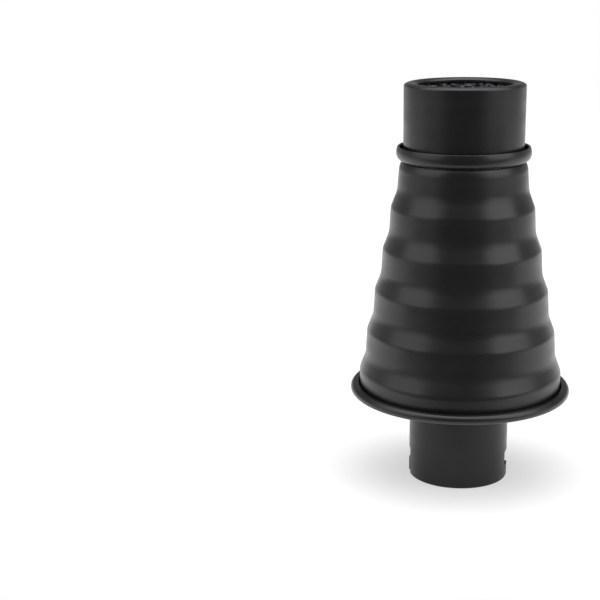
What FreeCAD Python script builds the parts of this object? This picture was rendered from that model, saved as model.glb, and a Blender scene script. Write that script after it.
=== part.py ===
"""A conical light snoot for a bare-bulb flash: a stepped cone on a crimped dish, a bayonet tube below it
and a pull-out nozzle above it, which carries a silver light tube and a honeycomb grid.

Millimetres, +Z up along the axis of the snoot, origin at the centre of the bayonet tube's lower rim.
"""
import FreeCAD, Part
import math
import os

import Sketcher

FREE = FreeCAD.Vector
FULL_TURN = 360.0
NEAR = 0.02

# The driving dimensions, in millimetres and degrees, each with what it is.
DRIVING = {
    "sheet_wall": (1.0, "aluminium sheet of the cone, the dish and the bayonet tube"),
    "mount_radius": (25.0, "outside of the bayonet tube"),
    "mount_flange_radius": (36.0, "edge of the bayonet tube's riveted flange"),
    "flange_bend": (1.2, "radius in the corner under the bayonet tube's turned flange"),
    "slot_floor": (6.4, "height of the bayonet channel's ledge above the rim"),
    "slot_ceiling": (13.8, "top of the bayonet channel"),
    "slot_entry_near": (0.9, "near side of the bayonet entry, across the tube"),
    "slot_entry_far": (5.9, "far side of the bayonet entry"),
    "slot_run_end": (7.7, "closed end of the bayonet channel"),
    "slot_round": (1.2, "corner radius of the bayonet channel"),
    "dish_floor": (43.9, "underside of the dish"),
    "dish_radius": (55.3, "outside of the dish's curled rim"),
    "dish_curl_height": (4.6, "height of the curled rim"),
    "dish_lip": (4.0, "how far the curl reaches back inwards"),
    "foot_reach": (2.0, "how far the cone's foot reaches out under the curl"),
    "foot_draw": (0.5, "how far the cone is drawn in from its lowest crown to its foot"),
    "cone_top_radius": (31.65, "outside of the cone at its mouth"),
    "cone_mouth_radius": (28.9, "hole in the cone's turned-in mouth"),
    "cone_mouth_height": (162.0, "top of the cone's mouth"),
    "step_first": (147.3, "height at which the first step below the mouth starts"),
    "step_pitch": (20.9, "height from one step to the next"),
    "step_height": (8.0, "height of one step"),
    "step_rise": (3.84, "growth in radius from one band to the next"),
    "band_taper": (0.75, "growth in radius along one band"),
    "step_hollow": (15.0, "radius of the hollow above a step"),
    "step_crown": (9.0, "radius of the crown below a step"),
    "shoulder_radius": (9.0, "radius of the curve that draws the cone in to its mouth"),
    "shoulder_height": (4.8, "height of that curve"),
    "shoulder_edge": (0.4, "rounding of the mouth's outer edge"),
    "socket_wall": (1.0, "sheet of the socket ring"),
    "socket_height": (6.5, "height of the socket's upstand"),
    "socket_gap": (0.2, "room between the light tube and its socket"),
    "rivet_circle": (32.6, "radius on which the rivets stand"),
    "rivet_radius": (1.5, "rivet shank"),
    "rivet_head_radius": (3.0, "rivet head below the dish"),
    "rivet_head_height": (1.1, "height of the rivet head"),
    "rivet_tail_radius": (2.2, "upset end of the rivet"),
    "rivet_tail_height": (1.3, "height of the upset end"),
    "rivet_gap": (0.05, "room round the rivet shank"),
    "light_tube_radius": (28.4, "outside of the silver light tube"),
    "light_tube_wall": (0.9, "wall of the light tube"),
    "light_tube_foot": (48.0, "lower end of the light tube"),
    "light_tube_head": (183.6, "upper end of the light tube"),
    "felt_gap": (0.1, "room between the felt and the light tube"),
    "felt_foot": (148.8, "lower edge of the felt"),
    "felt_head": (157.0, "upper edge of the felt"),
    "nozzle_radius": (29.6, "outside of the nozzle"),
    "nozzle_wall": (1.1, "sheet of the nozzle"),
    "nozzle_head": (200.3, "front face of the nozzle"),
    "nozzle_foot": (162.35, "underside of the nozzle's rolled bead"),
    "nozzle_lip_radius": (23.5, "hole in the nozzle's front face"),
    "nozzle_hem": (2.4, "depth of the hem turned in round that hole"),
    "nozzle_crown": (4.8, "radius of the nozzle's front across its ring"),
    "nozzle_round": (1.0, "corner radius of the nozzle's front"),
    "lip_round": (0.4, "corner radius of the hole in the nozzle's front"),
    "bead_reach": (33.05, "largest radius of the bead"),
    "bead_belly": (4.4, "radius of the bead's outside below its widest place"),
    "bead_flank": (8.2, "radius of the bead's outside above its widest place"),
    "bead_middle": (3.9, "height of the bead's widest place above its underside"),
    "bead_tip": (3.25, "height of the bead's free edge above its widest place"),
    "grid_depth": (12.0, "length of the honeycomb cells"),
    "grid_top_gap": (0.1, "room between the grid and the nozzle's hem"),
    "grid_frame_gap": (0.15, "room between the grid's frame and the nozzle"),
    "grid_frame_wall": (0.6, "band round the honeycomb"),
    "grid_edge_wall": (0.4, "foil that closes the honeycomb's edge"),
    "cell_pitch": (8.0, "distance between the honeycomb's cells"),
    "foil": (0.35, "wall between two cells"),
    "ring_wire": (0.75, "radius of the snap ring's wire"),
    "ring_turn": (344.0, "arc that the snap ring covers, in degrees"),
}
RIVET_COUNT = 4
SLOT_COUNT = 2
STEP_COUNT = 5
CELL_RINGS = 4


class Size:
    """A size that knows its number and the sheet expression it comes from."""

    def __init__(self, value, text):
        self.value = value
        self.text = text

    def _with(self, other, sign, value):
        text = other.text if isinstance(other, Size) else repr(float(other))
        return Size(value, f"({self.text} {sign} {text})")

    def __add__(self, other):
        return self._with(other, "+", self.value + number(other))

    def __sub__(self, other):
        return self._with(other, "-", self.value - number(other))

    def __mul__(self, other):
        return self._with(other, "*", self.value * number(other))

    def __truediv__(self, other):
        return self._with(other, "/", self.value / number(other))


def leg(slant, side):
    """The third side of a right-angled triangle, from its slant and one short side."""
    value = math.sqrt(number(slant) ** 2 - number(side) ** 2)
    return Size(value, f"sqrt({slant.text} * {slant.text} - {side.text} * {side.text})")


def number(size):
    """The plain number of a Size or of a number."""
    return size.value if isinstance(size, Size) else float(size)


def make_sheet(doc):
    """Writes the driving dimensions into a spreadsheet and returns them as Size objects by name."""
    sheet = doc.addObject("Spreadsheet::Sheet", "dims")
    sizes = {}
    for row, (alias, (value, note)) in enumerate(DRIVING.items(), start=1):
        sheet.set(f"A{row}", str(value))
        sheet.setAlias(f"A{row}", alias)
        sheet.set(f"B{row}", note)
        sizes[alias] = Size(value, f"dims.{alias}")
    doc.recompute()
    return sizes


def new_body(doc, label):
    """A PartDesign body whose Label names its file."""
    body = doc.addObject("PartDesign::Body", label)
    body.Label = label
    return body


def plane(body, role):
    """One of the body's own origin planes."""
    return next(item for item in body.Origin.OriginFeatures if item.Role == role)


def new_sketch(body, name, role):
    """A sketch on one of the body's origin planes."""
    sketch = body.newObject("Sketcher::SketchObject", name)
    sketch.AttachmentSupport = [(plane(body, role), "")]
    sketch.MapMode = "FlatFace"
    return sketch


def pin_point(sketch, geometry, end, across, up):
    """Holds one end of a sketch line at a place given by two sizes."""
    for kind, size in (("DistanceX", across), ("DistanceY", up)):
        index = sketch.addConstraint(
            Sketcher.Constraint(kind, -1, 1, geometry, end, number(size))
        )
        if isinstance(size, Size):
            sketch.setExpression(f"Constraints[{index}]", size.text)


def arc_between(start, stop, radius, bulge):
    """The arc of a radius from start to stop: bulge +1 passes left of the chord, -1 right of it."""
    middle = (start + stop) / 2
    chord = stop - start
    half = chord.Length / 2
    left = FREE(-chord.y, chord.x, 0).normalize()
    rise = math.sqrt(max(radius * radius - half * half, 0.0))
    crown = middle + left * bulge * (radius - rise)
    return Part.Arc(start, crown, stop)


def outline(sketch, corners):
    """Draws a closed outline, counter-clockwise.

    A corner is (across, up) or (across, up, radius, bulge), where the last two make the stretch that
    follows it an arc: bulge -1 is a rounded corner and +1 a hollow.
    """
    places = [FREE(number(corner[0]), number(corner[1]), 0) for corner in corners]
    ends = []
    for index, corner in enumerate(corners):
        start, stop = places[index], places[(index + 1) % len(places)]
        if len(corner) == 2:
            sketch.addGeometry(Part.LineSegment(start, stop), False)
            ends.append((1, 2))
        else:
            sketch.addGeometry(arc_between(start, stop, number(corner[2]), corner[3]), False)
            ends.append((1, 2) if corner[3] < 0 else (2, 1))
    for index in range(len(corners)):
        follower = (index + 1) % len(corners)
        sketch.addConstraint(
            Sketcher.Constraint("Coincident", index, ends[index][1], follower, ends[follower][0])
        )
    for index, corner in enumerate(corners):
        pin_point(sketch, index, ends[index][0], corner[0], corner[1])
    for index, corner in enumerate(corners):
        if len(corner) > 2:
            bind_radius(sketch, index, corner[2])


def bind_radius(sketch, geometry, radius):
    """Holds the radius of a sketch arc or circle."""
    index = sketch.addConstraint(Sketcher.Constraint("Radius", geometry, number(radius)))
    if isinstance(radius, Size):
        sketch.setExpression(f"Constraints[{index}]", radius.text)


def turned(doc, label, corners):
    """Turns a closed outline of (radius, height) corners round Z. Returns the body and its turning."""
    body = new_body(doc, label)
    sketch = new_sketch(body, f"{label}_outline", "XZ_Plane")
    outline(sketch, corners)
    turning = body.newObject("PartDesign::Revolution", f"{label}_turning")
    turning.Profile = sketch
    turning.ReferenceAxis = (sketch, ["V_Axis"])
    turning.Angle = FULL_TURN
    doc.recompute()
    return body, turning


def round_edges(doc, body, feature, name, size, heights):
    """Fillets the circular edges of a feature that lie at the given (radius, height) places."""
    names = []
    for index, edge in enumerate(feature.Shape.Edges, start=1):
        circle = edge.Curve
        if not isinstance(circle, Part.Circle):
            continue
        if any(
            abs(circle.Radius - number(radius)) < NEAR and abs(circle.Center.z - number(height)) < NEAR
            for radius, height in heights
        ):
            names.append(f"Edge{index}")
    if len(names) < len(heights):
        raise RuntimeError(f"{name}: found {len(names)} edges of {len(heights)}")
    rounding = body.newObject("PartDesign::Fillet", name)
    rounding.Base = (feature, names)
    rounding.setExpression("Radius", size.text)
    doc.recompute()
    return rounding


def round_holes(doc, body, label, radius, circle_radius, count, ceiling):
    """Drills a ring of round holes through a body, upwards from the origin plane."""
    sketch = new_sketch(body, f"{label}_hole", "XY_Plane")
    sketch.addGeometry(
        Part.Circle(FREE(number(circle_radius), 0, 0), FREE(0, 0, 1), number(radius)), False
    )
    pin_point(sketch, 0, 3, circle_radius, 0.0)
    bind_radius(sketch, 0, radius)
    pocket = body.newObject("PartDesign::Pocket", f"{label}_drill")
    pocket.Profile = sketch
    pocket.Reversed = True
    pocket.setExpression("Length", ceiling.text)
    doc.recompute()
    return ring_of(doc, body, f"{label}_ring", pocket, count)


def ring_of(doc, body, name, feature, count):
    """Repeats a feature round Z."""
    before = feature.Shape.Volume
    pattern = body.newObject("PartDesign::PolarPattern", name)
    pattern.Originals = [feature]
    pattern.Axis = (plane(body, "Z_Axis"), [""])
    pattern.Angle = FULL_TURN
    pattern.Occurrences = count
    body.Tip = pattern
    doc.recompute()
    if not pattern.Shape.Volume < before - 0.1:
        raise RuntimeError(f"{name} cut nothing")
    return pattern


def make_mount_tube(doc, d):
    """The bayonet tube: a tube with two J-shaped channels at its rim and a riveted flange at its head."""
    inside = d["mount_radius"] - d["sheet_wall"]
    seat = d["dish_floor"] + d["sheet_wall"]
    head = seat + d["sheet_wall"]
    corner = d["flange_bend"]
    bend = corner + d["sheet_wall"]
    body, _ = turned(doc, "mount_tube", [
        (inside, 0.0),
        (d["mount_radius"], 0.0),
        (d["mount_radius"], seat - corner, corner, 1.0),
        (d["mount_radius"] + corner, seat),
        (d["mount_flange_radius"], seat),
        (d["mount_flange_radius"], head),
        (inside + bend, head, bend, -1.0),
        (inside, head - bend),
    ])
    sketch = new_sketch(body, "bayonet_outline", "YZ_Plane")
    r = d["slot_round"]
    floor, ceiling = d["slot_floor"], d["slot_ceiling"]
    near, far, end = d["slot_entry_near"], d["slot_entry_far"], d["slot_run_end"] * -1.0
    outline(sketch, [
        (near, -1.0),
        (far, -1.0),
        (far, ceiling - r, r, -1.0),
        (far - r, ceiling),
        (end + r, ceiling, r, -1.0),
        (end, ceiling - r),
        (end, floor + r, r, -1.0),
        (end + r, floor),
        (near - r, floor, r, 1.0),
        (near, floor - r),
    ])
    whole = body.Tip.Shape.Volume
    channel = body.newObject("PartDesign::Pocket", "bayonet_channel")
    channel.Profile = sketch
    channel.Reversed = True
    channel.setExpression("Length", (d["mount_radius"] + 5.0).text)
    doc.recompute()
    if not channel.Shape.Volume < whole - 0.1:
        raise RuntimeError("the bayonet channel cut nothing")
    channels = ring_of(doc, body, "bayonet_channels", channel, SLOT_COUNT)
    drill = d["rivet_radius"] + d["rivet_gap"]
    round_holes(doc, body, "mount_rivet", drill, d["rivet_circle"], RIVET_COUNT, head + 1.0)
    return body, channels


def make_base_dish(doc, d):
    """The dish that closes the cone: a flat plate whose rim curls up and back over the cone's foot."""
    wall, floor, edge = d["sheet_wall"], d["dish_floor"], d["dish_radius"]
    hole = d["mount_radius"] + d["flange_bend"] + 0.05
    outer = d["dish_curl_height"] / 2.0 - 0.01
    inner = outer - wall
    top = floor + d["dish_curl_height"]
    body, _ = turned(doc, "base_dish", [
        (hole, floor),
        (edge - outer, floor, outer, -1.0),
        (edge, floor + outer),
        (edge, top - outer, outer, -1.0),
        (edge - outer, top),
        (edge - d["dish_lip"], top),
        (edge - d["dish_lip"], top - wall),
        (edge - outer, top - wall, inner, 1.0),
        (edge - wall, top - outer),
        (edge - wall, floor + outer, inner, 1.0),
        (edge - outer, floor + wall),
        (hole, floor + wall),
    ])
    drill = d["rivet_radius"] + d["rivet_gap"]
    round_holes(doc, body, "dish_rivet", drill, d["rivet_circle"], RIVET_COUNT, floor + wall * 2.0)
    return body


def cone_line(d, inset):
    """The cone's (radius, height) line from foot to shoulder, moved inwards by a size."""
    line = []
    for band in range(STEP_COUNT, 0, -1):
        top = d["step_first"] - d["step_height"] - d["step_pitch"] * (band - 1.0)
        radius = d["cone_top_radius"] + d["step_rise"] * float(band) - inset
        line.append((radius, top))
        above = d["cone_top_radius"] + d["step_rise"] * (band - 1.0) + d["band_taper"] - inset
        line.append((above, top + d["step_height"]))
    return line


def make_cone_shell(doc, d):
    """The stepped cone: turned-out foot, six bands joined by soft steps, and a turned-in mouth."""
    wall = d["sheet_wall"]
    foot = d["dish_floor"] + wall
    skirt = d["cone_top_radius"] + d["step_rise"] * float(STEP_COUNT) - d["foot_draw"]
    outside, inside = cone_line(d, wall * 0.0), cone_line(d, wall)
    top, neck = d["cone_mouth_height"], d["cone_top_radius"]
    bend, rise = d["shoulder_radius"], d["shoulder_height"]
    mouth_edge = neck - bend + leg(bend, rise)
    corners = [
        (skirt - wall, foot),
        (skirt + d["foot_reach"], foot),
        (skirt + d["foot_reach"], foot + wall),
        (skirt, foot + wall),
        *outside,
        (neck, top - rise, bend, -1.0),
        (mouth_edge, top),
        (d["cone_mouth_radius"], top),
        (d["cone_mouth_radius"], top - wall),
        (neck - bend + leg(bend - wall, rise - wall), top - wall, bend - wall, 1.0),
        (neck - wall, top - rise),
        *inside[::-1],
    ]
    body, turning = turned(doc, "cone_shell", corners)
    last = round_edges(doc, body, turning, "crowns", d["step_crown"], outside[0::2])
    last = round_edges(doc, body, last, "inner_crowns", d["step_crown"] - wall, inside[0::2])
    last = round_edges(doc, body, last, "hollows", d["step_hollow"], outside[1::2])
    last = round_edges(doc, body, last, "inner_hollows", d["step_hollow"] + wall, inside[1::2])
    round_edges(doc, body, last, "mouth_edge", d["shoulder_edge"], [(mouth_edge, top)])
    return body


def make_tube_socket(doc, d):
    """The socket ring riveted over the bayonet tube's flange, which holds the light tube's lower end."""
    wall = d["socket_wall"]
    seat = d["dish_floor"] + d["sheet_wall"] * 2.0
    bore = d["light_tube_radius"] + d["socket_gap"]
    body, _ = turned(doc, "tube_socket", [
        (bore, seat),
        (d["mount_flange_radius"], seat),
        (d["mount_flange_radius"], seat + wall),
        (bore + wall, seat + wall),
        (bore + wall, seat + d["socket_height"]),
        (bore, seat + d["socket_height"]),
    ])
    drill = d["rivet_radius"] + d["rivet_gap"]
    round_holes(doc, body, "socket_rivet", drill, d["rivet_circle"], RIVET_COUNT, seat + wall * 2.0)
    return body


def make_rivets(doc, d):
    """Four rivets, each one solid, as a fused head, shank and upset end."""
    floor = d["dish_floor"]
    grip = d["sheet_wall"] * 2.0 + d["socket_wall"]
    rivets = []
    for index in range(RIVET_COUNT):
        angle = FULL_TURN / RIVET_COUNT * index
        head = doc.addObject("Part::Cone", f"rivet_head_{index}")
        head.setExpression("Radius1", (d["rivet_head_radius"] * 0.62).text)
        head.setExpression("Radius2", d["rivet_head_radius"].text)
        head.setExpression("Height", d["rivet_head_height"].text)
        shank = doc.addObject("Part::Cylinder", f"rivet_shank_{index}")
        shank.setExpression("Radius", d["rivet_radius"].text)
        shank.setExpression("Height", (grip + (d["rivet_head_height"] + d["rivet_tail_height"]) * 0.5).text)
        tail = doc.addObject("Part::Cylinder", f"rivet_tail_{index}")
        tail.setExpression("Radius", d["rivet_tail_radius"].text)
        tail.setExpression("Height", d["rivet_tail_height"].text)
        levels = (
            (head, floor - d["rivet_head_height"]),
            (shank, floor - d["rivet_head_height"] * 0.5),
            (tail, floor + grip),
        )
        for item, level in levels:
            item.setExpression("Placement.Base.x", f"{d['rivet_circle'].text} * cos({angle})")
            item.setExpression("Placement.Base.y", f"{d['rivet_circle'].text} * sin({angle})")
            item.setExpression("Placement.Base.z", level.text)
        rivet = doc.addObject("Part::MultiFuse", f"rivet_{index}")
        rivet.Shapes = [head, shank, tail]
        rivets.append(rivet)
    group = doc.addObject("Part::Compound", "mount_rivets")
    group.Links = rivets
    group.Label = "mount_rivets"
    return group


def make_felt_ring(doc, d):
    """The felt ring glued inside the cone's neck, which grips the light tube."""
    bore = d["light_tube_radius"] + d["felt_gap"]
    neck_head = d["cone_mouth_height"] - d["shoulder_height"]
    slope = d["band_taper"] / (neck_head - d["step_first"])
    skin = d["cone_top_radius"] - d["sheet_wall"] - 0.03
    foot, head = d["felt_foot"], d["felt_head"]
    low = skin + slope * (neck_head - foot)
    high = skin + slope * (neck_head - head)
    body, _ = turned(doc, "felt_ring", [(bore, foot), (low, foot), (high - 0.4, head), (bore, head)])
    return body


def make_inner_tube(doc, d):
    """The silver light tube."""
    outside, inside = d["light_tube_radius"], d["light_tube_radius"] - d["light_tube_wall"]
    foot, head = d["light_tube_foot"], d["light_tube_head"]
    body, _ = turned(doc, "inner_tube", [(inside, foot), (outside, foot), (outside, head), (inside, head)])
    return body


def make_nozzle(doc, d):
    """The nozzle: a spun cap with a holed front face and a rim rolled out and up into a bead."""
    wall, radius = d["nozzle_wall"], d["nozzle_radius"]
    foot, head, lip = d["nozzle_foot"], d["nozzle_head"], d["nozzle_lip_radius"]
    middle, rise = foot + d["bead_middle"], d["bead_tip"]
    belly, flank = d["bead_belly"], d["bead_flank"]
    belly_centre, flank_centre = d["bead_reach"] - belly, d["bead_reach"] - flank
    tip_outside = flank_centre + leg(flank, rise)
    tip_inside = flank_centre + leg(flank - wall, rise)
    crown, half = d["nozzle_crown"], (radius - lip) / 2.0
    edge = head - crown + leg(crown, half)
    inner_edge = head - crown + leg(crown - wall, half - wall)
    body, turning = turned(doc, "nozzle", [
        (radius - wall, foot),
        (belly_centre + leg(belly, d["bead_middle"]), foot, belly, -1.0),
        (d["bead_reach"], middle, flank, -1.0),
        (tip_outside, middle + rise),
        (tip_inside, middle + rise, flank - wall, 1.0),
        (d["bead_reach"] - wall, middle, belly - wall, 1.0),
        (belly_centre + leg(belly - wall, d["bead_middle"] - wall), foot + wall),
        (radius, foot + wall),
        (radius, edge, crown, -1.0),
        (lip, edge),
        (lip, head - d["nozzle_hem"]),
        (lip + wall, head - d["nozzle_hem"]),
        (lip + wall, inner_edge, crown - wall, 1.0),
        (radius - wall, inner_edge),
    ])
    last = round_edges(doc, body, turning, "nozzle_front", d["nozzle_round"], [(radius, edge)])
    last = round_edges(doc, body, last, "nozzle_lip", d["lip_round"], [(lip, edge)])
    bead_edge = [(tip_outside, middle + rise), (tip_inside, middle + rise)]
    round_edges(doc, body, last, "bead_edge", wall * 0.3, bead_edge)
    return body


def grid_head(d):
    """The height of the grid frame's upper edge, just below the nozzle's hem."""
    return d["nozzle_head"] - d["nozzle_hem"] - d["grid_top_gap"]


def make_grid_frame(doc, d):
    """The band round the honeycomb."""
    outside = d["nozzle_radius"] - d["nozzle_wall"] - d["grid_frame_gap"]
    inside = outside - d["grid_frame_wall"]
    head = grid_head(d)
    foot = head - d["grid_depth"]
    slant = d["grid_frame_wall"]
    body, _ = turned(doc, "grid_frame", [
        (inside, foot),
        (outside, foot),
        (outside, head - slant),
        (outside - slant * 0.7, head),
        (inside, head),
    ])
    return body


def make_honeycomb(doc, d):
    """The honeycomb: a disc of foil with hexagonal cells cut through it, closed round its edge."""
    outside = d["nozzle_radius"] - d["nozzle_wall"] - d["grid_frame_gap"] - d["grid_frame_wall"] - 0.05
    head = grid_head(d) - 0.2
    depth = d["grid_depth"] - 0.4
    foot = head - depth
    disc = doc.addObject("Part::Cylinder", "honeycomb_disc")
    disc.setExpression("Radius", outside.text)
    disc.setExpression("Height", depth.text)
    disc.setExpression("Placement.Base.z", foot.text)
    cells = []
    corner = (d["cell_pitch"] - d["foil"]) / math.sqrt(3.0)
    for across in range(-CELL_RINGS, CELL_RINGS + 1):
        for along in range(-CELL_RINGS, CELL_RINGS + 1):
            if abs(across + along) > CELL_RINGS:
                continue
            cell = doc.addObject("Part::Prism", "honeycomb_cell")
            cell.Polygon = 6
            cell.setExpression("Circumradius", corner.text)
            cell.setExpression("Height", (depth + 2.0).text)
            cell.setExpression("Placement.Base.x", (d["cell_pitch"] * (across * math.sqrt(0.75))).text)
            cell.setExpression("Placement.Base.y", (d["cell_pitch"] * (along + across * 0.5)).text)
            cell.setExpression("Placement.Base.z", (foot - 1.0).text)
            cells.append(cell)
    holes = doc.addObject("Part::Compound", "honeycomb_cells")
    holes.Links = cells
    bore = doc.addObject("Part::Cylinder", "honeycomb_bore")
    bore.setExpression("Radius", (outside - d["grid_edge_wall"]).text)
    bore.setExpression("Height", (depth + 2.0).text)
    bore.setExpression("Placement.Base.z", (foot - 1.0).text)
    kept = doc.addObject("Part::Common", "honeycomb_openings")
    kept.Base, kept.Tool = holes, bore
    grid = doc.addObject("Part::Cut", "honeycomb_grid")
    grid.Base, grid.Tool = disc, kept
    grid.Label = "honeycomb_grid"
    return grid


def make_snap_ring(doc, d):
    """The open wire ring that springs against the nozzle's wall below the grid."""
    ring = doc.addObject("Part::Torus", "grid_snap_ring")
    wire = d["ring_wire"]
    head = grid_head(d) - d["grid_depth"]
    ring.setExpression("Radius1", (d["nozzle_radius"] - d["nozzle_wall"] - wire - 0.05).text)
    ring.setExpression("Radius2", wire.text)
    ring.setExpression("Angle3", d["ring_turn"].text)
    ring.setExpression("Placement.Base.z", (head - wire - 0.05).text)
    ring.Label = "grid_snap_ring"
    return ring


def check_and_export(doc, pieces):
    """Stops if anything in the document failed, then writes one STEP file for each piece."""
    for item in doc.Objects:
        if "Invalid" in item.State or "Error" in item.State:
            raise RuntimeError(f"{item.Label} failed: {item.State}")
    for piece in pieces:
        shape = piece.Shape
        if shape.isNull() or not shape.isValid() or not shape.Solids:
            raise RuntimeError(f"{piece.Label} has no valid shape")
    os.makedirs("parts", exist_ok=True)
    for piece in pieces:
        piece.Shape.exportStep(f"parts/{piece.Label}.step")
        box = piece.Shape.BoundBox
        print(
            f"{piece.Label}: {len(piece.Shape.Solids)} solid(s), {piece.Shape.Volume:.1f} mm3, "
            f"radius {box.XMax:.2f}, z {box.ZMin:.2f} to {box.ZMax:.2f}"
        )


def main():
    doc = FreeCAD.newDocument("snoot")
    sizes = make_sheet(doc)
    pieces = [
        make_mount_tube(doc, sizes)[0],
        make_base_dish(doc, sizes),
        make_cone_shell(doc, sizes),
        make_tube_socket(doc, sizes),
        make_rivets(doc, sizes),
        make_felt_ring(doc, sizes),
        make_inner_tube(doc, sizes),
        make_nozzle(doc, sizes),
        make_grid_frame(doc, sizes),
        make_honeycomb(doc, sizes),
        make_snap_ring(doc, sizes),
    ]
    doc.recompute()
    check_and_export(doc, pieces)


main()
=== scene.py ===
"""A stepped conical light snoot: a spun cone on a crimped dish, over a bayonet tube, with a pull-out nozzle.

Sizes in the classes are millimetres in the snoot's own frame: +Z up its axis, zero at the bayonet tube's rim.
"""
import sys
import logging
import math
import random
from dataclasses import dataclass
from enum import Enum

import bmesh
import bpy
from mathutils import Matrix, Vector, noise


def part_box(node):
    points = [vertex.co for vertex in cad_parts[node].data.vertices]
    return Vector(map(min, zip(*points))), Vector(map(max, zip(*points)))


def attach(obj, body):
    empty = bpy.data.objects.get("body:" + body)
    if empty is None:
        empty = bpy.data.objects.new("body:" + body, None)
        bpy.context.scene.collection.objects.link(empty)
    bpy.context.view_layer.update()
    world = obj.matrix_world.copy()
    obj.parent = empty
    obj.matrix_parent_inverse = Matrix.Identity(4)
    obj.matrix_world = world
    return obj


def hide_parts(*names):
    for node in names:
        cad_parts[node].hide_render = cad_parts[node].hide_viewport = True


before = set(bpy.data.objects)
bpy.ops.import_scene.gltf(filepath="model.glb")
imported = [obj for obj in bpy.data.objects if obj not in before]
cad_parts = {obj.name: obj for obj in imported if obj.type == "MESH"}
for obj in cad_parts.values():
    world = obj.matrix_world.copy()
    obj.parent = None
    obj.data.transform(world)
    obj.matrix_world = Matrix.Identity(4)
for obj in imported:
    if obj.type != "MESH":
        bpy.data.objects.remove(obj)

MM = 0.001
# Nearly all of what a noise node gives lies between these two.
NOISE_LOW, NOISE_HIGH = 0.3, 0.7
# A wave node at scale 1 repeats after this part of a unit.
WAVE_TURN = math.tau / 20.0
# The colour sockets of a mix node, by number, because its other sockets share their names.
MIX_A, MIX_B, MIX_RESULT = 6, 7, 2
# Degrees to a facet on bends under and over this radius, and the turn in radians that counts as straight.
SMALL_BEND, SMALL_BEND_STEP, LARGE_BEND_STEP = 3.0, 12, 3
STRAIGHT = 0.02
# An outward bend tighter than this radius and sharper than this turn is a rim, where the coat gets rubbed.
RIM_RADIUS, RIM_TURN = 2.5, 0.6
# Width of the strip that guards each side of a bend, in millimetres.
GUARD = 0.3
LOG = logging.getLogger("snoot")
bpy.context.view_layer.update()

Outline = list[tuple[float, float]]
Corners = list[tuple[float, float, float]]
Key = tuple[int, int]


class Part(Enum):
    """The two bodies that the snoot's pieces ride on."""

    CONE = "cone"
    INSERT = "insert"


# ---- colour and nodes ----


def linear(code: str) -> tuple[float, float, float, float]:
    """Turns an sRGB hex code into a linear colour.

    Args:
        code: Six hex digits, with or without a leading hash.

    Returns:
        Linear red, green, blue and full opacity.
    """
    digits = code.lstrip("#")
    channels = [int(digits[i : i + 2], 16) / 255 for i in (0, 2, 4)]
    red, green, blue = (c / 12.92 if c <= 0.04045 else ((c + 0.055) / 1.055) ** 2.4 for c in channels)
    return red, green, blue, 1.0


def per_metre(millimetres: float) -> float:
    """The texture scale that gives a pattern this real spacing."""
    return 1.0 / (millimetres * MM)


def spread(low: float, high: float) -> dict[str, float]:
    """Settings that stretch a noise node's output over this range."""
    return {"From Min": NOISE_LOW, "From Max": NOISE_HIGH, "To Min": low, "To Max": high}


def add_node(
    tree: bpy.types.NodeTree, kind: str, settings: dict | None = None, **links: bpy.types.NodeSocket
) -> bpy.types.Node:
    """Adds one node to a tree.

    Args:
        tree: The tree that gets the node.
        kind: The node's Blender type.
        settings: Attribute or input names and their values; an input is named by its label or its number.
        **links: Output sockets by the input they feed; "in_0" feeds input number 0 and spaces are underscores.

    Returns:
        The new node.
    """
    node = tree.nodes.new(kind)
    for key, value in (settings or {}).items():
        if isinstance(key, int) or key in node.inputs:
            node.inputs[key].default_value = value
        else:
            setattr(node, key, value)
    for key, socket in links.items():
        name = int(key[3:]) if key.startswith("in_") else key.replace("_", " ")
        tree.links.new(socket, node.inputs[name])
    return node


# ---- finishes ----


@dataclass(frozen=True)
class Finish:
    """A finish: what the surface is made of and how, turned into a material on request."""

    name: str

    def start(self) -> tuple[bpy.types.Material, bpy.types.NodeTree, bpy.types.Node, bpy.types.NodeSocket]:
        """Starts the material.

        Returns:
            The material, its tree, its surface shader and the socket that gives places on it in metres.
        """
        material = bpy.data.materials.new(self.name)
        material.use_nodes = True
        tree = material.node_tree
        place = add_node(tree, "ShaderNodeTexCoord")
        return material, tree, tree.nodes["Principled BSDF"], place.outputs["Object"]

    def build(self) -> bpy.types.Material:
        """Makes the material; each finish does this its own way."""
        raise NotImplementedError


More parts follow.
